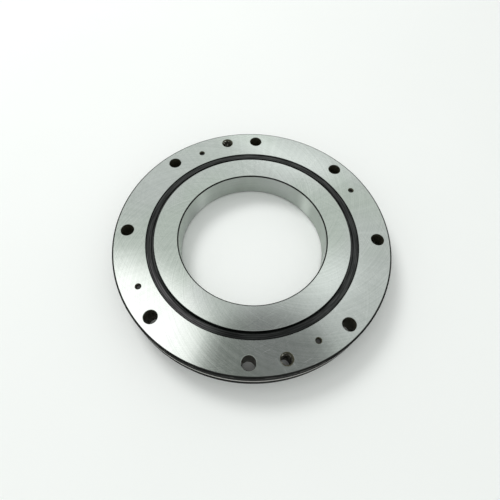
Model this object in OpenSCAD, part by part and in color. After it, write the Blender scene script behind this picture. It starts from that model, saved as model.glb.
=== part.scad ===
// Crossed roller bearing with a split, flanged outer ring.
// Cylindrical rollers lie in one V-shaped raceway, each turned a quarter turn from the next, with a
// spacer between them. The bearing lies flat: Z is its axis, and Z = 0 is its lower face.

/* [Rings] */
// Bore diameter of the inner ring
bore_d = 75; // [60:0.5:100]
// Radial width of the inner ring's face, from the bore to the seal gap
inner_face = 12.2; // [10:0.1:16]
// Width of the seal gap between the ring faces, with the roller circle in its middle
seal_gap = 4; // [3.2:0.1:5]
// Radial width of the outer ring's face, from the seal gap to the rim
outer_face = 16.3; // [14.5:0.1:22]
// Width of both rings, face to face
ring_w = 14; // [13:0.5:20]
// Chamfer on the face edges of the outer ring
rim_chamfer = 0.6; // [0.3:0.1:1.2]
// Chamfer on both ends of the bore
bore_chamfer = 0.6; // [0.3:0.1:1.2]
// Chamfer on each side of the joint between the two halves of the outer ring
joint_chamfer = 0.8; // [0.3:0.1:1.5]
// Small edge break along the seal gap
edge_break = 0.2; // [0.1:0.05:0.3]

/* [Rollers] */
// Diameter of a roller
roller_d = 6; // [5:0.1:6.4]
// Gap at each end of a roller, which makes it a little shorter than its diameter
roller_end_gap = 0.18; // [0.1:0.02:0.4]
// Chamfer on the roller ends
roller_chamfer = 0.3; // [0.1:0.05:0.5]
// Least thickness of the spacer between two rollers
spacer_web = 1; // [0.8:0.1:2]
// Thickness of a spacer at its horns, which reach round the rollers
spacer_horn = 4; // [3:0.1:4.4]
// Trimmed corner of a spacer
spacer_corner = 0.8; // [0.4:0.1:1.2]

/* [Raceway] */
// Running gap between a roller and each raceway face, and between a roller and its spacers
race_clearance = 0.08; // [0.05:0.01:0.12]
// Gap between spacers and raceway faces
spacer_clearance = 0.2; // [0.1:0.05:0.3]
// Radial gap between the two rings at the pitch circle
land_gap = 0.8; // [0.6:0.1:1.2]
// Depth of the relief cut at the bottom of each V
relief_depth = 0.4; // [0.2:0.1:0.6]
// Half the width of that relief cut
relief_half_w = 0.5; // [0.3:0.1:0.8]

/* [Seals] */
// Depth of the seal seat below the face
seal_depth = 2.4; // [2.1:0.1:2.8]
// How far the seal lies below the face
seal_drop = 0.55; // [0.3:0.05:0.8]
// Width of the open moat between the seal body and the inner ring
seal_moat = 1.1; // [0.6:0.1:1.4]
// Height of the lip's upper side above the floor of the seat
lip_rise = 1.05; // [0.95:0.05:1.2]
// Thickness of the seal lip
lip_t = 0.4; // [0.3:0.05:0.45]
// How far the retaining bead of the seal stands out
bead_h = 0.5; // [0.3:0.05:0.8]
// Height of the bead above the floor of the seat
bead_rise = 0.5; // [0.3:0.05:0.6]
// Thickness of the bead at its edge
bead_t = 0.5; // [0.3:0.05:0.6]
// Slope of the bead's upper and lower side
bead_slope = 0.15; // [0.05:0.05:0.25]
// Gap between the seal and the ring that holds it
seal_fit = 0.03; // [0.02:0.01:0.05]
// Running gap between the seal lip and the inner ring
lip_clearance = 0.08; // [0.05:0.01:0.15]
// Width of the two ribs moulded on top of the seal
rib_w = 0.35; // [0.2:0.05:0.5]
// Height of those ribs
rib_h = 0.12; // [0.05:0.01:0.2]

/* [Mounting holes] */
// Number of through holes for mounting bolts
bolt_count = 8; // [6:2:10]
// Diameter of a through hole
bolt_hole_d = 6.6; // [4.5:0.1:7]
// Distance from the rim to the circle of the mounting bolts and the jack screws
bolt_inset = 6.5; // [5.5:0.1:8]
// Diameter of the jack screw holes inside their thread
jack_hole_d = 5; // [4.2:0.1:5.4]
// Depth of the 45 degree countersink on the jack screw holes
jack_sink = 0.6; // [0.3:0.1:1]
// Angle from a bolt hole to the jack screw hole after it
jack_angle = 15; // [10:1:22]

/* [Clamp screws] */
// Distance from the rim to the circle of the screws that hold the outer ring's two halves together
clamp_inset = 9; // [7:0.1:9.5]
// Angle from a clamp screw to the bolt hole after it
clamp_angle = 15; // [10:1:22]
// Diameter of the tapped hole in the upper half
clamp_d = 3; // [2.5:0.1:3.4]
// Gap all round the screw in its tapped hole
clamp_fit = 0.03; // [0.02:0.01:0.05]
// Gap all round the screw in the lower half
clamp_clearance = 0.2; // [0.1:0.05:0.3]
// Diameter of the screw head
clamp_head_d = 5.5; // [4.8:0.1:6]
// Height of the screw head
clamp_head_h = 3; // [2:0.1:3]
// Gap all round the screw head in its counterbore
clamp_head_fit = 0.25; // [0.1:0.05:0.4]
// How far the head lies below the lower face
clamp_sunk = 0.4; // [0.2:0.1:0.8]
// How far the tip lies below the upper face
clamp_tip_sunk = 1.2; // [0.6:0.1:2]
// Chamfer on the tip of the screw
clamp_tip_chamfer = 0.4; // [0.2:0.1:0.6]
// Width of the hexagon socket across its flats
clamp_key = 2.5; // [2:0.1:2.8]
// Depth of the hexagon socket
clamp_key_depth = 1.3; // [0.8:0.1:1.5]

/* [Hidden] */
$fn = 96;
steel = [0.76, 0.78, 0.77];
roller_steel = [0.82, 0.83, 0.84];
rubber = [0.09, 0.1, 0.1];
polymer = [0.86, 0.82, 0.7];
screw_steel = [0.3, 0.3, 0.31];

// The rings are stacked from the bore outwards
bore_r = bore_d / 2;
seal_land_r = bore_r + inner_face;
pitch_r = seal_land_r + seal_gap / 2;
seal_seat_r = seal_land_r + seal_gap;
outer_r = seal_seat_r + outer_face;
mid_z = ring_w / 2;
overshoot = 1;

// The raceway is a square turned by 45 degrees: half its diagonal reaches each apex
race_side = roller_d + 2 * race_clearance;
race_reach = race_side / sqrt(2);
outer_land_r = pitch_r + land_gap / 2;
inner_land_r = pitch_r - land_gap / 2;
mouth_h = race_reach - land_gap / 2;
relief_start = race_reach - relief_half_w;
relief_end = race_reach + relief_depth;

// Rollers come in crossed pairs, so their number is even
roller_count = 2 * floor(PI * pitch_r / (roller_d + spacer_web));
roller_step = 360 / roller_count;
roller_l = race_side - 2 * roller_end_gap;

// Heights of the seal are counted from the middle plane of the bearing
seal_floor = mid_z - seal_depth;
seal_top = mid_z - seal_drop;
bead_low = seal_floor + bead_rise;
bead_high = bead_low + bead_t;
lip_high = seal_floor + lip_rise;
lip_low = lip_high - lip_t;

// Jack screws follow two opposite bolt holes, and clamp screws lead every second bolt hole
bolt_circle_r = outer_r - bolt_inset;
clamp_circle_r = outer_r - clamp_inset;
bolt_step = 360 / bolt_count;
jack_first = 2 * round(bolt_count / 8) * bolt_step + jack_angle;
jack_count = 2;
clamp_first = bolt_step - clamp_angle;
clamp_count = bolt_count / 2;
clamp_head_top = clamp_sunk + clamp_head_h;
clamp_tip = ring_w - clamp_tip_sunk;

function two_digits(n) = str(n < 10 ? "0" : "", n);
function roller_name(i) = str("roller_", two_digits(i + 1));
function tilt_of(i) = i % 2 == 0 ? 45 : -45;

ring_nodes = ["outer_ring_upper", "outer_ring_lower", "inner_ring"];
small_nodes = ["upper_seal", "lower_seal", "clamp_screws", "spacers"];
roller_nodes = [for (i = [0:roller_count - 1]) roller_name(i)];

// Turns a profile that is drawn above the middle plane of the bearing
module turned() {
    translate([0, 0, mid_z]) rotate_extrude() children();
}

// The same, for the half below the middle plane
module turned_below() {
    translate([0, 0, mid_z]) mirror([0, 0, 1]) rotate_extrude() children();
}

module on_circle(r, count, first) {
    for (k = [0:count - 1]) rotate([0, 0, first + k * 360 / count]) translate([r, 0, 0]) children();
}

// Outer ring

// Half of the outer ring, from the joint at height 0 up to its face
module outer_half_profile() {
    polygon([
        [pitch_r + relief_end, 0],
        [outer_r - joint_chamfer, 0],
        [outer_r, joint_chamfer],
        [outer_r, mid_z - rim_chamfer],
        [outer_r - rim_chamfer, mid_z],
        [seal_seat_r + edge_break, mid_z],
        [seal_seat_r, mid_z - edge_break],
        [seal_seat_r, bead_high + bead_slope + seal_fit],
        [seal_seat_r + bead_h, bead_high + seal_fit],
        [seal_seat_r + bead_h, bead_low - seal_fit],
        [seal_seat_r, bead_low - bead_slope - seal_fit],
        [seal_seat_r, seal_floor],
        [outer_land_r, seal_floor],
        [outer_land_r, mouth_h],
        [pitch_r + relief_start, relief_half_w],
        [pitch_r + relief_end, relief_half_w]
    ]);
}

// The countersink of a jack screw hole in the lower face
module jack_countersink() {
    cylinder(d1 = jack_hole_d + 2 * jack_sink, d2 = jack_hole_d, h = jack_sink);
}

module jack_hole() {
    translate([0, 0, -overshoot]) cylinder(d = jack_hole_d, h = ring_w + 2 * overshoot);
    jack_countersink();
    translate([0, 0, ring_w]) mirror([0, 0, 1]) jack_countersink();
}

// The holes that go through both halves: mounting bolts and jack screws
module through_holes() {
    on_circle(bolt_circle_r, bolt_count, 0) translate([0, 0, -overshoot])
        cylinder(d = bolt_hole_d, h = ring_w + 2 * overshoot);
    on_circle(bolt_circle_r, jack_count, jack_first) jack_hole();
}

module outer_ring_upper() {
    color(steel) difference() {
        turned() outer_half_profile();
        through_holes();
        on_circle(clamp_circle_r, clamp_count, clamp_first) translate([0, 0, mid_z - overshoot])
            cylinder(d = clamp_d, h = mid_z + 2 * overshoot);
    }
}

module outer_ring_lower() {
    color(steel) difference() {
        turned_below() outer_half_profile();
        through_holes();
        on_circle(clamp_circle_r, clamp_count, clamp_first) translate([0, 0, -overshoot]) {
            cylinder(d = clamp_d + 2 * clamp_clearance, h = mid_z + 2 * overshoot);
            cylinder(d = clamp_head_d + 2 * clamp_head_fit, h = clamp_head_top + overshoot);
        }
    }
}

// Inner ring

// Outline of the inner ring's upper half, from the bore round to the bottom of the V
function inner_half() = [
    [bore_r, mid_z - bore_chamfer],
    [bore_r + bore_chamfer, mid_z],
    [seal_land_r - edge_break, mid_z],
    [seal_land_r, mid_z - edge_break],
    [seal_land_r, seal_floor],
    [inner_land_r, seal_floor],
    [inner_land_r, mouth_h],
    [pitch_r - relief_start, relief_half_w],
    [pitch_r - relief_end, relief_half_w]
];

module inner_ring_profile() {
    half = inner_half();
    last = len(half) - 1;
    polygon(concat(half, [for (k = [last:-1:0]) [half[k][0], -half[k][1]]]));
}

module inner_ring() {
    color(steel) turned() inner_ring_profile();
}

// Seals

module seal_rib(r) {
    translate([r - rib_w / 2, seal_top - rib_h]) square([rib_w, 2 * rib_h]);
}

// A rubber ring: its bead snaps into the outer ring, its lip runs on the inner ring's land
module seal_profile() {
    foot_in = outer_land_r + seal_fit;
    outside = seal_seat_r - seal_fit;
    body_in = seal_land_r + seal_moat;
    lip_in = seal_land_r + lip_clearance;
    polygon([
        [foot_in, seal_floor],
        [outside, seal_floor],
        [outside, bead_low - bead_slope],
        [outside + bead_h, bead_low],
        [outside + bead_h, bead_high],
        [outside, bead_high + bead_slope],
        [outside, seal_top - edge_break],
        [outside - edge_break, seal_top],
        [body_in + edge_break, seal_top],
        [body_in, seal_top - edge_break],
        [body_in, lip_high],
        [lip_in, lip_high - lip_t / 2],
        [lip_in, lip_low],
        [body_in, lip_low],
        [foot_in, lip_low - lip_t / 2]
    ]);
    seal_rib((2 * outside + body_in) / 3);
    seal_rib((outside + 2 * body_in) / 3);
}

module upper_seal() {
    color(rubber) turned() seal_profile();
}

module lower_seal() {
    color(rubber) turned_below() seal_profile();
}

// Clamp screws

module hexagon_socket(depth) {
    cylinder(d = clamp_key / cos(30), h = depth, $fn = 6);
}

// A socket head screw, head down
module clamp_screw() {
    head_r = clamp_head_d / 2;
    stem_r = clamp_d / 2 - clamp_fit;
    difference() {
        rotate_extrude() polygon([
            [0, clamp_sunk],
            [head_r, clamp_sunk],
            [head_r, clamp_head_top],
            [stem_r, clamp_head_top],
            [stem_r, clamp_tip - clamp_tip_chamfer],
            [stem_r - clamp_tip_chamfer, clamp_tip],
            [0, clamp_tip]
        ]);
        translate([0, 0, clamp_sunk - overshoot]) hexagon_socket(clamp_key_depth + overshoot);
    }
}

module clamp_screws() {
    color(screw_steel) on_circle(clamp_circle_r, clamp_count, clamp_first) clamp_screw();
}

// Rollers and spacers

// Puts its children on the pitch circle at roller place i, turned to that roller's axis
module at_roller(i) {
    rotate([0, 0, i * roller_step]) translate([pitch_r, 0, mid_z]) rotate([0, tilt_of(i), 0]) children();
}

module roller(i) {
    half_l = roller_l / 2;
    r = roller_d / 2;
    color(roller_steel) at_roller(i) rotate_extrude() polygon([
        [0, -half_l],
        [r - roller_chamfer, -half_l],
        [r, roller_chamfer - half_l],
        [r, half_l - roller_chamfer],
        [r - roller_chamfer, half_l],
        [0, half_l]
    ]);
}

// A square with trimmed corners, which fills the raceway between two rollers
module spacer_section() {
    a = race_side / 2 - spacer_clearance;
    b = a - spacer_corner;
    polygon([[a, b], [b, a], [-b, a], [-a, b], [-a, -b], [-b, -a], [b, -a], [a, -b]]);
}

// The spacer between rollers i and i + 1: a block with a hollow for each of them
module spacer(i) {
    difference() {
        rotate([0, 0, (i + 0.5) * roller_step]) translate([pitch_r, 0, mid_z]) rotate([90, 45, 0])
            linear_extrude(height = spacer_horn, center = true) spacer_section();
        for (k = [i, i + 1]) at_roller(k)
            cylinder(d = roller_d + 2 * race_clearance, h = 2 * race_side, center = true);
    }
}

module spacers() {
    color(polymer) for (i = [0:roller_count - 1]) spacer(i);
}

outer_ring_upper();
outer_ring_lower();
inner_ring();
upper_seal();
lower_seal();
clamp_screws();
spacers();
for (i = [0:roller_count - 1]) roller(i);
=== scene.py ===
"""A crossed roller bearing that lies on a pale table, seen from above and in front."""
import math

import bpy
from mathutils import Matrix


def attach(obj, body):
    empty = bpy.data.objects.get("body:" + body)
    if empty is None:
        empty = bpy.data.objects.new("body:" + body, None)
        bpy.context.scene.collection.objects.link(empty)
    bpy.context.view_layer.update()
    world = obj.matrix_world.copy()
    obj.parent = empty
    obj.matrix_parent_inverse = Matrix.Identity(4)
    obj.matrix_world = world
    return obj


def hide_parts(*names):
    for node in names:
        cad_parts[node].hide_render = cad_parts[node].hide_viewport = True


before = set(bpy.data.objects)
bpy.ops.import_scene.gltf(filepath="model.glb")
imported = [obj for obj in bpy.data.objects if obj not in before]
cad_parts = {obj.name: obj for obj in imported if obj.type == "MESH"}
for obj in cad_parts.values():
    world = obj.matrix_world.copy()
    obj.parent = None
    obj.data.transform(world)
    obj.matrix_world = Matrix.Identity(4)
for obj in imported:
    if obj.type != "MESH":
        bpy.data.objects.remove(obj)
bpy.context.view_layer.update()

# Sizes of the bearing in millimetres: radii from its axis, heights from its lower face
MM = 0.001
BORE_R = 37.5
LAND_R = 49.7
ROLLER_CIRCLE_R = 51.7
SEAT_R = 53.7
RIM_R = 70.0
WIDTH = 14.0
MID = WIDTH / 2
CHAMFER = 0.6
JOINT_CHAMFER = 0.8
EDGE_BREAK = 0.2
OUTER_LAND_R = 52.1
INNER_LAND_R = 51.3
RACE_MOUTH = 3.956
RACE_END = 3.856
RELIEF_R = 4.756
RELIEF_HALF = 0.5
SEAT_FLOOR = 4.6
SEAL_TOP = 6.45
SEAL_FIT = 0.03
BEAD_LOW, BEAD_HIGH, BEAD_OUT, BEAD_SLOPE = 5.1, 5.6, 0.5, 0.15
LIP_LOW, LIP_HIGH = 5.25, 5.65
LIP_GAP = 0.08
MOAT = 1.1
BOLT_CIRCLE_R = 63.5
BOLT_HOLE_R = 3.3
BOLT_COUNT = 8
BOLT_EDGE = 0.15
JACK_ANGLES = (105, 285)
JACK_CORE_R, JACK_CREST_R, JACK_PITCH = 2.5, 3.0, 1.0
JACK_SINK = 0.6
CLAMP_CIRCLE_R = 61.0
CLAMP_ANGLES = (30, 120, 210, 300)
CLAMP_CORE_R, CLAMP_CREST_R, CLAMP_PITCH = 1.25, 1.5, 0.5
CLAMP_ROOM_R = 1.53
CLAMP_MOUTH_R = 1.58
CLAMP_STEM_R = 1.47
CLAMP_TIP = 12.8
CLAMP_POINT = 0.4
CLAMP_TIP_ROOM = 0.05
CLAMP_GROOVE = 0.2
CLAMP_HEAD_R = 2.75
CLAMP_HEAD_LOW, CLAMP_HEAD_HIGH = 0.4, 3.4
CLAMP_HEAD_BEVEL = 0.25
CLAMP_COUNTERBORE_R = 3.0
CLAMP_CLEAR_R = 1.7
CLAMP_KEY = 2.5
CLAMP_SOCKET_R = CLAMP_KEY / 2 / math.cos(math.radians(30))
CLAMP_SOCKET_DEPTH = 1.3
CLAMP_SOCKET_LEAD = 0.1

# Steps round a circle, how far cutters reach past a face in mm, and how near points are merged in metres
RING_STEPS = 288
HOLE_STEPS = 64
THREAD_STEPS = 40
OVER = 1.0
SPIN_WELD = 1e-7
CUT_WELD = 1e-6


def start_fresh():
    """Selects nothing, so that the next operator acts on the new piece alone."""
    bpy.ops.object.select_all(action="DESELECT")


def pick(piece):
    """Makes this piece the only one selected, and the active one."""
    start_fresh()
    piece.select_set(True)
    bpy.context.view_layer.objects.active = piece


def on_circle(radius, degrees):
    """The x and y of a point on a circle round the axis."""
    a = math.radians(degrees)
    return radius * math.cos(a), radius * math.sin(a)


def turned(name, outline, steps, centre=(0.0, 0.0)):
    """Spins a closed outline of (radius, height) corners round an upright axis."""
    start_fresh()
    bpy.ops.mesh.primitive_circle_add(vertices=len(outline), radius=MM, fill_type="NOTHING")
    piece = bpy.context.object
    piece.name = name
    piece.data.name = name
    for corner, (r, h) in zip(piece.data.vertices, outline):
        corner.co = ((centre[0] + r) * MM, centre[1] * MM, h * MM)
    bpy.ops.object.mode_set(mode="EDIT")
    bpy.ops.mesh.select_all(action="SELECT")
    axis_at = (centre[0] * MM, centre[1] * MM, 0)
    bpy.ops.mesh.spin(steps=steps, angle=2 * math.pi, center=axis_at, axis=(0, 0, 1))
    bpy.ops.mesh.select_all(action="SELECT")
    bpy.ops.mesh.remove_doubles(threshold=SPIN_WELD)
    bpy.ops.mesh.delete_loose()
    bpy.ops.mesh.select_all(action="SELECT")
    bpy.ops.mesh.normals_make_consistent(inside=False)
    bpy.ops.object.mode_set(mode="OBJECT")
    return piece


def cut(piece, cutters):
    """Takes the shapes of the cutters, which don't touch each other, out of the piece."""
    pick(cutters[0])
    for cutter in cutters:
        cutter.select_set(True)
    bpy.ops.object.join()
    cutter = bpy.context.object
    carve = piece.modifiers.new("carve", "BOOLEAN")
    carve.operation = "DIFFERENCE"
    carve.solver = "EXACT"
    carve.object = cutter
    pick(piece)
    bpy.ops.object.modifier_apply(modifier=carve.name)
    bpy.data.objects.remove(cutter, do_unlink=True)
    bpy.ops.object.mode_set(mode="EDIT")
    bpy.ops.mesh.select_all(action="SELECT")
    bpy.ops.mesh.remove_doubles(threshold=CUT_WELD)
    bpy.ops.mesh.select_all(action="SELECT")
    bpy.ops.mesh.dissolve_degenerate(threshold=CUT_WELD)
    bpy.ops.mesh.delete_loose()
    bpy.ops.object.mode_set(mode="OBJECT")


def drill(centre, outline):
    """A turned cutter that stands at this centre."""
    return turned("drill", outline, HOLE_STEPS, centre)


def tap(centre, core_r, crest_r, pitch, low, high):
    """A screw-shaped cutter between two heights, closed by a flat cap at each end."""
    # Corners of one turn: radius, and height as a share of the pitch
    flank = [
        (core_r, 0.0), (core_r, 0.125), (crest_r, 0.4375),
        (crest_r, 0.5625), (core_r, 0.875), (core_r, 1.0),
    ]
    spare_turns = 3
    lead_in = spare_turns / 2
    start_fresh()
    bpy.ops.mesh.primitive_circle_add(vertices=len(flank), radius=MM, fill_type="NOTHING")
    piece = bpy.context.object
    piece.name = "tap"
    for corner, (r, share) in zip(piece.data.vertices, flank):
        corner.co = (r * MM, 0, (low + (share - lead_in) * pitch) * MM)
    # The circle's last edge joins the two ends of the flank and is taken out
    ends = {0, len(flank) - 1}
    bpy.ops.object.mode_set(mode="EDIT")
    bpy.ops.mesh.select_mode(type="EDGE")
    bpy.ops.mesh.select_all(action="DESELECT")
    bpy.ops.object.mode_set(mode="OBJECT")
    for edge in piece.data.edges:
        edge.select = set(edge.vertices) == ends
    bpy.ops.object.mode_set(mode="EDIT")
    bpy.ops.mesh.delete(type="EDGE")
    bpy.ops.mesh.select_mode(type="VERT")
    bpy.ops.object.mode_set(mode="OBJECT")
    coil = piece.modifiers.new("coil", "SCREW")
    coil.axis = "Z"
    coil.angle = 2 * math.pi
    coil.screw_offset = pitch * MM
    coil.iterations = math.ceil((high - low) / pitch) + spare_turns
    coil.steps = THREAD_STEPS
    coil.render_steps = THREAD_STEPS
    coil.use_smooth_shade = False
    pick(piece)
    bpy.ops.object.modifier_apply(modifier=coil.name)
    bpy.ops.object.mode_set(mode="EDIT")
    bpy.ops.mesh.select_all(action="SELECT")
    bpy.ops.mesh.remove_doubles(threshold=CUT_WELD)
    up = (0, 0, 1)
    bpy.ops.mesh.select_all(action="SELECT")
    bpy.ops.mesh.bisect(plane_co=(0, 0, low * MM), plane_no=up, use_fill=True, clear_inner=True)
    bpy.ops.mesh.select_all(action="SELECT")
    bpy.ops.mesh.bisect(plane_co=(0, 0, high * MM), plane_no=up, use_fill=True, clear_outer=True)
    bpy.ops.mesh.select_all(action="SELECT")
    bpy.ops.mesh.normals_make_consistent(inside=False)
    bpy.ops.object.mode_set(mode="OBJECT")
    piece.location = (centre[0] * MM, centre[1] * MM, 0)
    bpy.ops.object.transform_apply(location=True, rotation=False, scale=False)
    return piece


def smooth(piece, degrees=15):
    """Shades smoothly over edges that bend less than this angle."""
    pick(piece)
    bpy.ops.object.shade_smooth_by_angle(angle=math.radians(degrees))


def flipped(outline):
    """The same outline, mirrored in the middle plane of the bearing."""
    return [(r, WIDTH - h) for r, h in outline]


# Rings


def outer_half_outline():
    """The upper half of the outer ring: rim, face, seal seat and its side of the V raceway."""
    above = [
        (ROLLER_CIRCLE_R + RELIEF_R, 0),
        (RIM_R - JOINT_CHAMFER, 0),
        (RIM_R, JOINT_CHAMFER),
        (RIM_R, MID - CHAMFER),
        (RIM_R - CHAMFER, MID),
        (SEAT_R + EDGE_BREAK, MID),
        (SEAT_R, MID - EDGE_BREAK),
        (SEAT_R, BEAD_HIGH + BEAD_SLOPE + SEAL_FIT),
        (SEAT_R + BEAD_OUT, BEAD_HIGH + SEAL_FIT),
        (SEAT_R + BEAD_OUT, BEAD_LOW - SEAL_FIT),
        (SEAT_R, BEAD_LOW - BEAD_SLOPE - SEAL_FIT),
        (SEAT_R, SEAT_FLOOR),
        (OUTER_LAND_R, SEAT_FLOOR),
        (OUTER_LAND_R, RACE_MOUTH),
        (ROLLER_CIRCLE_R + RACE_END, RELIEF_HALF),
        (ROLLER_CIRCLE_R + RELIEF_R, RELIEF_HALF),
    ]
    return [(r, MID + h) for r, h in above]


def plain_hole(radius, low, high):
    """The outline of a straight hole with lightly broken edges."""
    wide = radius + BOLT_EDGE
    return [
        (0, low - OVER), (wide + OVER, low - OVER), (wide, low), (radius, low + BOLT_EDGE),
        (radius, high - BOLT_EDGE), (wide, high), (wide + OVER, high + OVER), (0, high + OVER),
    ]


def sink(mouth_r, height):
    """The outline of a cone that opens upwards, as wide as the mouth at this height."""
    return [(0, height - mouth_r), (mouth_r + OVER, height + OVER), (0, height + OVER)]


def flange_drills():
    places = [on_circle(BOLT_CIRCLE_R, k * 360 / BOLT_COUNT) for k in range(BOLT_COUNT)]
    return [drill(place, plain_hole(BOLT_HOLE_R, 0, WIDTH)) for place in places]


def jack_taps():
    places = [on_circle(BOLT_CIRCLE_R, degrees) for degrees in JACK_ANGLES]
    return [tap(place, JACK_CORE_R, JACK_CREST_R, JACK_PITCH, -OVER, WIDTH + OVER) for place in places]


def clamp_hole():
    """The outline of a clamp screw's hole: room for its stem, grooves above it and a broken edge."""
    roof = CLAMP_TIP + CLAMP_TIP_ROOM
    outline = [(0, MID - OVER), (CLAMP_ROOM_R, MID - OVER), (CLAMP_ROOM_R, roof)]
    top = WIDTH - (CLAMP_MOUTH_R - CLAMP_CORE_R)
    for k in range(int((top - roof) / CLAMP_PITCH), 0, -1):
        root = top - (k - 0.5) * CLAMP_PITCH
        outline += [
            (CLAMP_CORE_R, root - CLAMP_GROOVE), (CLAMP_CREST_R, root), (CLAMP_CORE_R, root + CLAMP_GROOVE),
        ]
    return outline + [(CLAMP_CORE_R, top), (CLAMP_MOUTH_R + OVER, WIDTH + OVER), (0, WIDTH + OVER)]


def make_upper_half():
    ring = turned("outer_ring_top_half", outer_half_outline(), RING_STEPS)
    clamps = [on_circle(CLAMP_CIRCLE_R, degrees) for degrees in CLAMP_ANGLES]
    jacks = [on_circle(BOLT_CIRCLE_R, degrees) for degrees in JACK_ANGLES]
    cut(ring, flange_drills() + [drill(place, clamp_hole()) for place in clamps])
    cut(ring, jack_taps())
    cut(ring, [drill(place, sink(JACK_CORE_R + JACK_SINK, WIDTH)) for place in jacks])
    return ring


def make_lower_half():
    ring = turned("outer_ring_bottom_half", flipped(outer_half_outline()), RING_STEPS)
    clamps = [on_circle(CLAMP_CIRCLE_R, degrees) for degrees in CLAMP_ANGLES]
    jacks = [on_circle(BOLT_CIRCLE_R, degrees) for degrees in JACK_ANGLES]
    wide = CLAMP_COUNTERBORE_R + BOLT_EDGE
    room = [
        (0, -OVER), (wide + OVER, -OVER), (wide, 0), (CLAMP_COUNTERBORE_R, BOLT_EDGE),
        (CLAMP_COUNTERBORE_R, CLAMP_HEAD_HIGH), (CLAMP_CLEAR_R, CLAMP_HEAD_HIGH),
        (CLAMP_CLEAR_R, MID + OVER), (0, MID + OVER),
    ]
    cut(ring, flange_drills() + [drill(place, room) for place in clamps])
    cut(ring, jack_taps())
    cut(ring, [drill(place, flipped(sink(JACK_CORE_R + JACK_SINK, WIDTH))) for place in jacks])
    return ring


def make_inner_ring():
    above = [
        (BORE_R, MID - CHAMFER),
        (BORE_R + CHAMFER, MID),
        (LAND_R - EDGE_BREAK, MID),
        (LAND_R, MID - EDGE_BREAK),
        (LAND_R, SEAT_FLOOR),
        (INNER_LAND_R, SEAT_FLOOR),
        (INNER_LAND_R, RACE_MOUTH),
        (ROLLER_CIRCLE_R - RACE_END, RELIEF_HALF),
        (ROLLER_CIRCLE_R - RELIEF_R, RELIEF_HALF),
    ]
    below = [(r, -h) for r, h in reversed(above)]
    return turned("inner_race_ring", [(r, MID + h) for r, h in above + below], RING_STEPS)


# Seals

RIB_COUNT = 3
RIB_R = 0.25
RIB_HEIGHT = 0.014
RIB_BEND = 8
SEAL_SHOULDER = 0.25
SHOULDER_BEND = 4
SEAL_OUT = SEAT_R - SEAL_FIT
SEAL_IN = LAND_R + MOAT
SEAL_SMOOTH = 32
LIP_ROOT = 0.2
RIB_PITCH = (SEAL_OUT - SEAL_IN - 2 * SEAL_SHOULDER) / RIB_COUNT


def seal_outline():
    """A rubber ring with rounded shoulders, round ribs on its back, a bead outside and a lip inside."""
    foot = OUTER_LAND_R + SEAL_FIT
    lip = LAND_R + LIP_GAP

    def shoulder(middle_r, start):
        """A quarter of a circle under the seal's top, from the start angle on."""
        bend = [math.radians(start + 90 * k / SHOULDER_BEND) for k in range(SHOULDER_BEND + 1)]
        middle_h = SEAL_TOP - SEAL_SHOULDER
        return [
            (middle_r + SEAL_SHOULDER * math.cos(a), middle_h + SEAL_SHOULDER * math.sin(a)) for a in bend
        ]

    points = [
        (foot, SEAT_FLOOR),
        (SEAL_OUT, SEAT_FLOOR),
        (SEAL_OUT, BEAD_LOW - BEAD_SLOPE),
        (SEAL_OUT + BEAD_OUT, BEAD_LOW),
        (SEAL_OUT + BEAD_OUT, BEAD_HIGH),
        (SEAL_OUT, BEAD_HIGH + BEAD_SLOPE),
    ]
    points += shoulder(SEAL_OUT - SEAL_SHOULDER, 0)
    for k in range(RIB_COUNT):
        middle = SEAL_OUT - SEAL_SHOULDER - RIB_PITCH * (k + 0.5)
        for step in range(RIB_BEND + 1):
            across = step / RIB_BEND
            rise = (1 - math.cos(2 * math.pi * across)) / 2
            points.append((middle + RIB_R * (1 - 2 * across), SEAL_TOP + RIB_HEIGHT * rise))
    points += shoulder(SEAL_IN + SEAL_SHOULDER, 90)
    points += [
        (SEAL_IN, LIP_HIGH),
        (lip, (LIP_HIGH + LIP_LOW) / 2),
        (lip, LIP_LOW),
        (SEAL_IN, LIP_LOW),
        (foot, LIP_LOW - LIP_ROOT),
    ]
    return [(r, MID + h) for r, h in points]


def make_seal(name, outline):
    seal = turned(name, outline, RING_STEPS)
    smooth(seal, SEAL_SMOOTH)
    return seal


# Clamp screws


def make_clamp_screw():
    """A socket head screw on the axis, head down, with a plain stem and a bevelled tip."""
    body = [
        (0, CLAMP_HEAD_LOW),
        (CLAMP_HEAD_R - CLAMP_HEAD_BEVEL, CLAMP_HEAD_LOW),
        (CLAMP_HEAD_R, CLAMP_HEAD_LOW + CLAMP_HEAD_BEVEL),
        (CLAMP_HEAD_R, CLAMP_HEAD_HIGH),
        (CLAMP_STEM_R, CLAMP_HEAD_HIGH),
        (CLAMP_STEM_R, CLAMP_TIP - CLAMP_POINT),
        (CLAMP_STEM_R - CLAMP_POINT, CLAMP_TIP),
        (0, CLAMP_TIP),
    ]
    screw = turned("clamp_screw_1", body, HOLE_STEPS)
    start_fresh()
    bpy.ops.mesh.primitive_cylinder_add(
        vertices=6, radius=CLAMP_SOCKET_R * MM, depth=2 * CLAMP_SOCKET_DEPTH * MM,
        location=(0, 0, CLAMP_HEAD_LOW * MM))
    cut(screw, [bpy.context.object])
    mouth = CLAMP_SOCKET_R + CLAMP_SOCKET_LEAD
    below = CLAMP_HEAD_LOW - OVER
    cone = [(0, below), (mouth + OVER, below), (0, CLAMP_HEAD_LOW + mouth)]
    cut(screw, [drill((0, 0), cone)])
    smooth(screw)
    return screw


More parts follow.
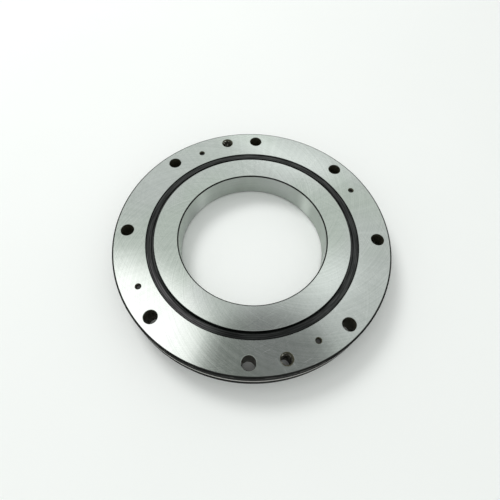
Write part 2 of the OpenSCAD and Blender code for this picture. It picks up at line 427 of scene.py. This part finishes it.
def copy_round(first, angles, radius):
    """Moves a piece from the axis to the first place, and a copy with its own mesh to each other place."""
    made = [first]
    for k in range(1, len(angles)):
        piece = first.copy()
        piece.data = first.data.copy()
        piece.name = first.name[:-1] + str(k + 1)
        bpy.context.collection.objects.link(piece)
        made.append(piece)
    for piece, degrees in zip(made, angles):
        x, y = on_circle(radius, degrees)
        pick(piece)
        piece.location = (x * MM, y * MM, 0)
        bpy.ops.object.transform_apply(location=True, rotation=False, scale=False)
    return made


# Shader maths


class Wire:
    """One socket of a material. Arithmetic on it adds Math nodes."""

    def __init__(self, tree, socket=None):
        self.tree = tree
        self.socket = socket

    def node(self, kind, settings=None, sockets=None, out=0):
        """Adds a node: its settings are set first, and then its sockets get values or wires."""
        made = self.tree.nodes.new(kind)
        for key, value in (settings or {}).items():
            setattr(made, key, value)
        for key, value in (sockets or {}).items():
            if isinstance(value, Wire):
                self.tree.links.new(value.socket, made.inputs[key])
            else:
                made.inputs[key].default_value = value
        return Wire(self.tree, made.outputs[out])

    def maths(self, operation, *values):
        return self.node("ShaderNodeMath", {"operation": operation}, dict(enumerate(values)))

    def __add__(self, other):
        return self.maths("ADD", self, other)

    __radd__ = __add__

    def __sub__(self, other):
        return self.maths("SUBTRACT", self, other)

    def __rsub__(self, other):
        return self.maths("SUBTRACT", other, self)

    def __mul__(self, other):
        return self.maths("MULTIPLY", self, other)

    def __truediv__(self, other):
        return self.maths("DIVIDE", self, other)

    def __abs__(self):
        return self.maths("ABSOLUTE", self)

    def rise(self, low, high, to_low=0.0, to_high=1.0):
        """Goes smoothly from to_low to to_high as this value goes from low to high."""
        return self.node("ShaderNodeMapRange", {"interpolation_type": "SMOOTHSTEP"}, {
            "Value": self, "From Min": low, "From Max": high, "To Min": to_low, "To Max": to_high})

    def parts(self):
        """The X, Y and Z parts of a vector."""
        split = self.node("ShaderNodeSeparateXYZ", None, {0: self})
        return [Wire(self.tree, s) for s in split.socket.node.outputs]

    def vector(self, x, y, z):
        return self.node("ShaderNodeCombineXYZ", None, {0: x, 1: y, 2: z})

    def noise(self, place, scale, detail=2.0, rough=0.5):
        return self.node("ShaderNodeTexNoise", None, {
            "Vector": place, "Scale": scale, "Detail": detail, "Roughness": rough})

    def streaks(self, x, y, z, detail=3.0, rough=0.6):
        """Noise over coordinates of its own, which stretch it along a direction."""
        return self.noise(self.vector(x, y, z), 1.0, detail, rough)

    def mix(self, share, first, second):
        """A colour between two colours."""
        return self.node("ShaderNodeMix", {"data_type": "RGBA"}, {0: share, 6: first, 7: second}, 2)

    def bump(self, strength, distance, height):
        """A normal for a surface that rises with the height, by the distance in metres at most."""
        return self.node("ShaderNodeBump", None, {
            "Strength": strength, "Distance": distance, "Height": height})


# Finishes

# How far a face's normal points up or down: walls lie below the first value, flat faces above the second
WALL, FLAT = 0.3, 0.9
# Widths in mm: the soft edge of the dark band of oil and painted shade by the seals, the dark border along
# the rim, and the reach of a hole's skin
DARK_BAND_EDGE = 0.06
RIM_BORDER = 0.25
HOLE_REACH = 0.02


def colour(r, g, b):
    return (r, g, b, 1.0)


def new_finish(name):
    """A material with its shader, and a wire to build the rest from."""
    finish = bpy.data.materials.new(name)
    finish.use_nodes = True
    tree = finish.node_tree
    shader = next(n for n in tree.nodes if n.type == "BSDF_PRINCIPLED")
    return finish, Wire(tree), shader


def feed(wire, shader, **sockets):
    """Sets the shader's sockets, each to a value or a wire."""
    names = {
        "base": "Base Color", "rough": "Roughness", "metal": "Metallic", "coat": "Coat Weight",
        "normal": "Normal", "stretch": "Anisotropic", "stretch_turn": "Anisotropic Rotation",
        "round": "Tangent",
    }
    for key, value in sockets.items():
        socket = shader.inputs[names[key]]
        if isinstance(value, Wire):
            wire.tree.links.new(value.socket, socket)
        else:
            socket.default_value = value


def round_place(wire):
    """Object coordinates of a turned piece: place, radius and height in mm, and angle in turns."""
    place = wire.node("ShaderNodeTexCoord", out=3)
    x, y, z = place.parts()
    radius = wire.maths("SQRT", x * x + y * y) / MM
    turn = wire.maths("ARCTAN2", y, x) / (2 * math.pi)
    return place, radius, z / MM, turn


def facing(wire):
    """How far the surface faces up or down: 1 on flat faces, 0 on upright walls."""
    return abs(wire.node("ShaderNodeTexCoord", out=1).parts()[2])


def scratches(wire, place, degrees, seed):
    """Long thin marks on a flat face, all in one direction."""
    x, y = place.parts()[:2]
    c, s = math.cos(math.radians(degrees)), math.sin(math.radians(degrees))
    along, across = x * c + y * s, y * c - x * s
    return wire.streaks(along * 70, across * 3000, seed, 1.0, 0.5).rise(0.68, 0.75)


def ground_steel(name, darkened_below=0.0, darkened_above=2 * RIM_R):
    """Bearing steel: ground faces with crossing arcs, walls with rings round them, dark oil and painted
    shade by the seals.
    """
    finish, wire, shader = new_finish(name)
    place, radius, height, turn = round_place(wire)
    flat = facing(wire).rise(0.8, 0.95)
    # Marks of grinding, and broad cloudy patches
    arcs = wire.streaks(turn * 800 + radius * 4.5, radius * 0.05, 0.0, rough=0.65)
    cross = wire.streaks(turn * 320 - radius * 1.6, radius * 0.04, 3.0, rough=0.65)
    spokes = wire.streaks(turn * 150, radius * 0.02, 7.0)
    rings = wire.streaks(radius * 4.0, turn * 9.0, height * 7.0)
    patches = wire.noise(place, 30.0, 3.0, 0.5)
    lay = arcs * 0.35 + cross * 0.35 + rings * 0.1 + spokes * 0.2
    grain = lay * flat + rings * (1 - flat)
    shade = grain.rise(0.38, 0.62) * 0.85 + patches.rise(0.3, 0.7) * 0.15
    # Steel between a greenish and a greyer tone, with paler scratches
    cool = wire.noise(place, 16.0, 2.0, 0.5).rise(0.42, 0.62)
    green = wire.mix(shade, colour(0.56, 0.62, 0.565), colour(0.708, 0.77, 0.712))
    grey = wire.mix(shade, colour(0.585, 0.622, 0.598), colour(0.735, 0.772, 0.748))
    bright = wire.mix(cool, green, grey)
    one_way, other_way = scratches(wire, place, 28, 1.0), scratches(wire, place, -57, 5.0)
    marks = wire.maths("MAXIMUM", one_way, other_way)
    handled = marks * patches.rise(0.46, 0.6) * flat
    bright = wire.mix(handled * 0.6, bright, colour(0.86, 0.89, 0.87))
    # Darker along the edges: oil, with painted shade in the narrow gaps beside the seals, and a dark border
    # along the rim
    oil_and_shade = wire.maths("MAXIMUM", radius.rise(darkened_below, darkened_below + DARK_BAND_EDGE, 1.0, 0.0),
                     radius.rise(darkened_above - DARK_BAND_EDGE, darkened_above))
    # Painted shade: the bore is painted darker, in soft bands along the axis
    bore_shade_bands = wire.streaks(turn * 10.0, height * 0.02, 4.0, 5.0, 0.55).rise(0.3, 0.7, 0.18, 0.4)
    bore = radius.rise(BORE_R + 0.02, BORE_R + 0.1, 1.0, 0.0)
    steel_with_bore_shade = wire.mix(bore * bore_shade_bands, bright, colour(0.15, 0.16, 0.15))
    base = wire.mix(oil_and_shade, steel_with_bore_shade, colour(0.04, 0.042, 0.04))
    rough = 0.08 + grain * 0.09 + patches * 0.03 + handled * 0.12 + oil_and_shade * 0.2 + bore * 0.26
    feed(wire, shader, base=base, rough=rough, metal=1.0, normal=wire.bump(0.1, 0.00003, grain))
    # The rings of grinding in the bore stretch what it mirrors along the axis, a quarter turn from the rings
    around = wire.node("ShaderNodeTangent", {"direction_type": "RADIAL", "axis": "Z"})
    feed(wire, shader, stretch=bore, stretch_turn=0.25, round=around)
    return finish


def hardened_skin():
    """The dark skin that heat treatment leaves on steel that isn't ground: chamfers, rim and oiled holes."""
    finish, wire, shader = new_finish("hardened_skin")
    place, radius, height, turn = round_place(wire)
    rings = wire.streaks(radius * 3.0, turn * 12.0, height * 8.0)
    fine = wire.streaks(radius * 12.0, turn * 40.0, height * 30.0, 2.0)
    scale = wire.noise(place, 400.0, 4.0, 0.6)
    stain = wire.noise(place, 55.0, 3.0, 0.55).rise(0.4, 0.7)
    shade = rings.rise(0.3, 0.7) * 0.45 + fine.rise(0.3, 0.7) * 0.25 + scale.rise(0.3, 0.7) * 0.3
    dark = wire.mix(shade, colour(0.005, 0.0055, 0.005), colour(0.019, 0.02, 0.0185))
    # The corners of the chamfers are rubbed, and the holes are oiled
    corner = abs(abs(height - MID) - (MID - CHAMFER)).rise(0.02, 0.14, 1.0, 0.0)
    rubbed = corner * wire.noise(place, 260.0, 4.0, 0.65).rise(0.44, 0.6)
    worn = wire.mix(rubbed * 0.8, dark, colour(0.2, 0.2, 0.19))
    oiled = wire.mix(shade, colour(0.042, 0.041, 0.028), colour(0.135, 0.13, 0.09))
    in_holes = radius.rise(SEAT_R, SEAT_R + 1) * radius.rise(RIM_R - 2, RIM_R - 1, 1.0, 0.0)
    base = wire.mix(in_holes, worn, oiled)
    rough = 0.62 + shade * 0.2 - stain * 0.12 - in_holes * 0.25
    relief = wire.bump(0.25, 0.00004, shade)
    feed(wire, shader, base=base, rough=rough, metal=in_holes * 0.5, normal=relief)
    shader.inputs["Specular IOR Level"].default_value = 0.04
    return finish


def turned_steel():
    """Steel as the lathe leaves it, on the edges of the joint between the two halves: painted pale and dull
    as a highlight, so the joint shows as a light line.
    """
    finish, wire, shader = new_finish("turned_steel")
    radius, height, turn = round_place(wire)[1:]
    rings = wire.streaks(radius * 6.0, turn * 20.0, height * 12.0)
    # Painted highlight: the pale colour makes the joint's chamfer a light line
    base = wire.mix(rings, colour(0.62, 0.615, 0.585), colour(0.78, 0.77, 0.74))
    feed(wire, shader, base=base, rough=0.5 + rings * 0.15, metal=0.35)
    return finish


def thread_steel():
    """Cut steel of the jack screw threads: dark with oil, with a few bright spots painted in as glints."""
    finish, wire, shader = new_finish("thread_steel")
    place = wire.node("ShaderNodeTexCoord", out=3)
    # Painted glints: sparse bright, smooth spots on the thread
    painted_glints = wire.noise(place, 800.0, 3.0, 0.6).rise(0.54, 0.64)
    base = wire.mix(painted_glints, colour(0.045, 0.043, 0.03), colour(0.6, 0.59, 0.53))
    feed(wire, shader, base=base, rough=0.4 - painted_glints * 0.25, metal=0.6 + painted_glints * 0.4)
    return finish


def finish_faces(piece, finish, chosen):
    """Gives a finish of their own to the faces that the test chooses by their middle and their normal."""
    piece.data.materials.append(finish)
    last = len(piece.data.materials) - 1
    for face in piece.data.polygons:
        x, y, z = (v / MM for v in face.center)
        if chosen(x, y, z, abs(face.normal.z)):
            face.material_index = last


def in_joint(x, y, z, up):
    """Tells whether a face is on the chamfers of the joint between the two halves."""
    at_rim = math.hypot(x, y) > RIM_R - JOINT_CHAMFER
    return at_rim and WALL < up < FLAT and abs(z - MID) < JOINT_CHAMFER


def in_outer_skin(x, y, z, up):
    """Tells whether a face of the outer ring is on its rim, on a chamfer or in a hole."""
    r = math.hypot(x, y)
    if up > FLAT:
        return False
    if r > RIM_R - CHAMFER:
        return not in_joint(x, y, z, up)
    holes = [(BOLT_CIRCLE_R, k * 360 / BOLT_COUNT, BOLT_HOLE_R) for k in range(BOLT_COUNT)]
    holes += [(BOLT_CIRCLE_R, degrees, JACK_CORE_R + JACK_SINK) for degrees in JACK_ANGLES]
    holes += [(CLAMP_CIRCLE_R, degrees, CLAMP_COUNTERBORE_R) for degrees in CLAMP_ANGLES]
    for circle_r, degrees, hole_r in holes:
        cx, cy = on_circle(circle_r, degrees)
        if math.hypot(x - cx, y - cy) < hole_r + HOLE_REACH:
            return True
    return False


def in_jack_thread(x, y, z, up):
    """Tells whether a face is in the threaded part of a jack screw hole."""
    if abs(z - MID) > MID - JACK_SINK:
        return False
    jacks = [on_circle(BOLT_CIRCLE_R, degrees) for degrees in JACK_ANGLES]
    return any(math.hypot(x - cx, y - cy) < JACK_CREST_R for cx, cy in jacks)


def in_inner_skin(x, y, z, up):
    """Tells whether a face is on the chamfers of the bore."""
    return WALL < up < FLAT and math.hypot(x, y) < BORE_R + CHAMFER


def seal_rubber():
    """Black rubber with a faint bloom, fine rings from its mould and a film of grease on its ribs."""
    finish, wire, shader = new_finish("seal_rubber")
    place, radius, height, turn = round_place(wire)
    rings = wire.streaks(radius * 6.0, turn * 6.0, height * 5.0, 2.0, 0.5)
    bloom = wire.noise(place, 130.0, 5.0, 0.65)
    wet = wire.noise(place, 210.0, 2.0, 0.5).rise(0.62, 0.72)
    base = wire.mix(bloom.rise(0.35, 0.75), colour(0.001, 0.0016, 0.0014), colour(0.003, 0.005, 0.004))
    # A film of grease, thicker on the ribs, that leaves the outer edge dry
    across = (radius - SEAL_IN - SEAL_SHOULDER) / RIB_PITCH - 0.5
    crest = wire.maths("COSINE", across * (2 * math.pi)).rise(-0.5, 0.7)
    film = wire.streaks(radius * 1.5, turn * 24.0, 2.0).rise(0.4, 0.6)
    inboard = radius.rise(SEAL_OUT - 0.45, SEAL_OUT - 0.2, 1.0, 0.0)
    grease = (0.6 + crest * 0.4) * (0.1 + film * 0.9) * inboard
    rough = 0.07 + rings * 0.07 + bloom * 0.06 - wet * 0.04
    relief = wire.bump(0.08, 0.00004, rings + bloom * 0.5)
    feed(wire, shader, base=base, rough=rough, coat=grease, normal=relief)
    shader.inputs["Specular IOR Level"].default_value = 0.26
    shader.inputs["Coat Roughness"].default_value = 0.05
    shader.inputs["Coat IOR"].default_value = 1.65
    return finish


def screw_steel():
    """Screw steel: dull grey with a worn, brighter tip."""
    finish, wire, shader = new_finish("screw_steel")
    place, _, height, _ = round_place(wire)
    wear = wire.noise(place, 900.0, 4.0, 0.6)
    tip = height.rise(CLAMP_TIP - 0.5, CLAMP_TIP - 0.1)
    base = wire.mix(wear * 0.4 + tip * 0.6, colour(0.025, 0.025, 0.027), colour(0.08, 0.08, 0.076))
    feed(wire, shader, base=base, rough=0.3 + wear * 0.25, metal=1.0, normal=wire.bump(0.15, 0.00003, wear))
    return finish


def roller_steel():
    """Lapped roller steel with a faint bluish sheen."""
    finish, wire, shader = new_finish("roller_steel")
    place = wire.node("ShaderNodeTexCoord", out=3)
    marks = wire.noise(place, 2400.0, 3.0, 0.6)
    base = wire.mix(marks, colour(0.62, 0.64, 0.66), colour(0.72, 0.73, 0.74))
    feed(wire, shader, base=base, rough=0.1 + marks * 0.08, metal=1.0)
    return finish


def spacer_polymer():
    """Moulded polymer of the spacers, a little mottled."""
    finish, wire, shader = new_finish("spacer_polymer")
    place = wire.node("ShaderNodeTexCoord", out=3)
    mottle = wire.noise(place, 700.0, 4.0, 0.6)
    base = wire.mix(mottle, colour(0.62, 0.55, 0.4), colour(0.74, 0.68, 0.52))
    feed(wire, shader, base=base, rough=0.4 + mottle * 0.15, normal=wire.bump(0.1, 0.00005, mottle))
    return finish


def dress(piece, finish):
    """Gives the whole piece one finish."""
    piece.data.materials.clear()
    piece.data.materials.append(finish)


# Table, light and camera

# In metres and degrees; the table lies a hair below the bearing so that their faces don't meet
TABLE_SIZE = 14.0
TABLE_DROP = 0.00004
LAMP_SIZE = 0.5
STRIP_WIDE, STRIP_HIGH = 0.11, 0.4
STRIP_TILT = 68
CAMERA_PLACE = (-0.00243, -0.096517, 0.176709)
CAMERA_TURN = (28.2653, -1.3995, 1.7508)
CAMERA_NEAR = 0.005
# In millimetres
CAMERA_LENS, CAMERA_SENSOR = 26.856, 36.0


def make_table():
    start_fresh()
    bpy.ops.mesh.primitive_plane_add(size=TABLE_SIZE, location=(0, 0, -TABLE_DROP))
    table = bpy.context.object
    table.name = "table"
    finish, wire, shader = new_finish("white_table")
    place = wire.node("ShaderNodeTexCoord", out=3)
    cloud = wire.noise(place, 9.0, 3.0)
    base = wire.mix(cloud, colour(0.91, 0.93, 0.91), colour(0.94, 0.955, 0.94))
    feed(wire, shader, base=base, rough=0.7)
    dress(table, finish)


def make_sky():
    """A pale room with a bright window high on the left, two lights at the back and a dim shape overhead."""
    sky = bpy.data.worlds.new("room")
    bpy.context.scene.world = sky
    sky.use_nodes = True
    wire = Wire(sky.node_tree)
    background = next(n for n in sky.node_tree.nodes if n.type == "BACKGROUND")
    x, y, z = wire.node("ShaderNodeTexCoord", out=0).parts()

    def oval(at_x, at_y, wide, deep, lean=0.0):
        """Grows from 0 in the middle of an oval on the ceiling to 1 on its edge, and on outside it."""
        across, along = (x - at_x) / wide, (y - at_y + (x - at_x) * lean) / deep
        return across * across + along * along

    # Each light is a patch of the room, placed by the x and y parts of the direction towards it
    up = z.rise(0.0, 0.05)
    ceiling = z.rise(0.0, 0.6, 0.52, 0.66) * y.rise(-0.9, -0.05, 0.85, 1.0)
    window = oval(-0.31, 0.25, 0.21, 0.17).rise(0.5, 1.4, 0.95, 0.0) * up
    far_light = y.rise(0.55, 0.72, 0.0, 0.08) * up
    tube = oval(0.09, 0.673, 0.165, 0.016, 0.3).rise(0.1, 1.6, 0.75, 0.0) * up
    side_light = oval(0.215, 0.405, 0.07, 0.06).rise(0.0, 1.5, 0.5, 0.0) * up
    dim = oval(0.06, 0.165, 0.195, 0.185).rise(0.65, 1.05, 1.0, 0.0) * up
    level = (ceiling + window + far_light + tube + side_light) * (1 - dim * 0.68)
    sky.node_tree.links.new(level.socket, background.inputs["Strength"])
    tint = wire.mix(window, colour(0.97, 1.0, 0.98), colour(1.05, 1.0, 1.04))
    sky.node_tree.links.new(tint.socket, background.inputs["Color"])


def make_lamp(name, place, tilt, turn, power):
    """A round soft lamp for the table and the holes, kept out of the steel's reflections."""
    start_fresh()
    rotation = (math.radians(tilt), 0, math.radians(turn))
    bpy.ops.object.light_add(type="AREA", location=place, rotation=rotation)
    lamp = bpy.context.object
    lamp.name = name
    lamp.data.shape = "DISK"
    lamp.data.size = LAMP_SIZE
    lamp.data.energy = power
    lamp.visible_glossy = False


def make_strip(name, place, turn, power, piece):
    """An upright strip of light that shines on one piece only."""
    start_fresh()
    rotation = (math.radians(STRIP_TILT), 0, math.radians(turn))
    bpy.ops.object.light_add(type="AREA", location=place, rotation=rotation)
    lamp = bpy.context.object
    lamp.name = name
    lamp.data.shape = "RECTANGLE"
    lamp.data.size, lamp.data.size_y = STRIP_WIDE, STRIP_HIGH
    lamp.data.energy = power
    lamp.visible_diffuse = False
    lamp.visible_camera = False
    lit = bpy.data.collections.new(name)
    lit.objects.link(piece)
    lamp.light_linking.receiver_collection = lit


def make_camera():
    start_fresh()
    bpy.ops.object.camera_add(location=CAMERA_PLACE, rotation=[math.radians(a) for a in CAMERA_TURN])
    camera = bpy.context.object
    camera.data.lens = CAMERA_LENS
    camera.data.sensor_width = CAMERA_SENSOR
    camera.data.clip_start = CAMERA_NEAR
    bpy.context.scene.camera = camera


# The scene

make_camera()
make_table()
make_sky()
make_lamp("overhead_lamp", (0, -0.3, 1.3), tilt=-13, turn=0, power=1.5)
make_lamp("window_lamp", (-0.56, 0.68, 0.96), tilt=-42.5, turn=39.5, power=6.7)

# The pieces that are modelled here
upper = make_upper_half()
lower = make_lower_half()
inner = make_inner_ring()
for ring in (upper, lower, inner):
    smooth(ring)
seal_above = make_seal("seal_top", seal_outline())
seal_below = make_seal("seal_bottom", flipped(seal_outline()))
screws = copy_round(make_clamp_screw(), CLAMP_ANGLES, CLAMP_CIRCLE_R)

# The bore mirrors these as two upright streaks
make_strip("left_strip", (-0.675, -0.209, 0.308), turn=-71.7, power=0.72, piece=inner)
make_strip("right_strip", (0.68, -0.1925, 0.308), turn=73, power=0.3, piece=inner)

outer_steel = ground_steel(
    "outer_ring_steel", darkened_below=SEAT_R + DARK_BAND_EDGE, darkened_above=RIM_R - CHAMFER - RIM_BORDER)
inner_steel = ground_steel("inner_ring_steel", darkened_above=LAND_R - DARK_BAND_EDGE)
rubber = seal_rubber()
screw_finish = screw_steel()
skin = hardened_skin()
pale = turned_steel()
threaded = thread_steel()

dress(upper, outer_steel)
finish_faces(upper, skin, in_outer_skin)
finish_faces(upper, pale, in_joint)
finish_faces(upper, threaded, in_jack_thread)
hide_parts("outer_ring_upper")
dress(lower, outer_steel)
finish_faces(lower, skin, in_outer_skin)
finish_faces(lower, pale, in_joint)
finish_faces(lower, threaded, in_jack_thread)
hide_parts("outer_ring_lower")
dress(inner, inner_steel)
finish_faces(inner, skin, in_inner_skin)
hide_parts("inner_ring")
dress(seal_above, rubber)
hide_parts("upper_seal")
dress(seal_below, rubber)
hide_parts("lower_seal")
for screw in screws:
    dress(screw, screw_finish)
    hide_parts("clamp_screws")
    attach(screw, "outer_ring")
for piece in (upper, lower, seal_above, seal_below):
    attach(piece, "outer_ring")
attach(inner, "inner_ring")

# The rollers and spacers stay as the frame has them, with finishes of their own
rolling = roller_steel()
holding = spacer_polymer()
for name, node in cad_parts.items():
    if name.startswith("roller_"):
        node.material_slots[0].material = rolling
    elif name == "spacers":
        node.material_slots[0].material = holding

bpy.context.scene.view_settings.view_transform = "Standard"
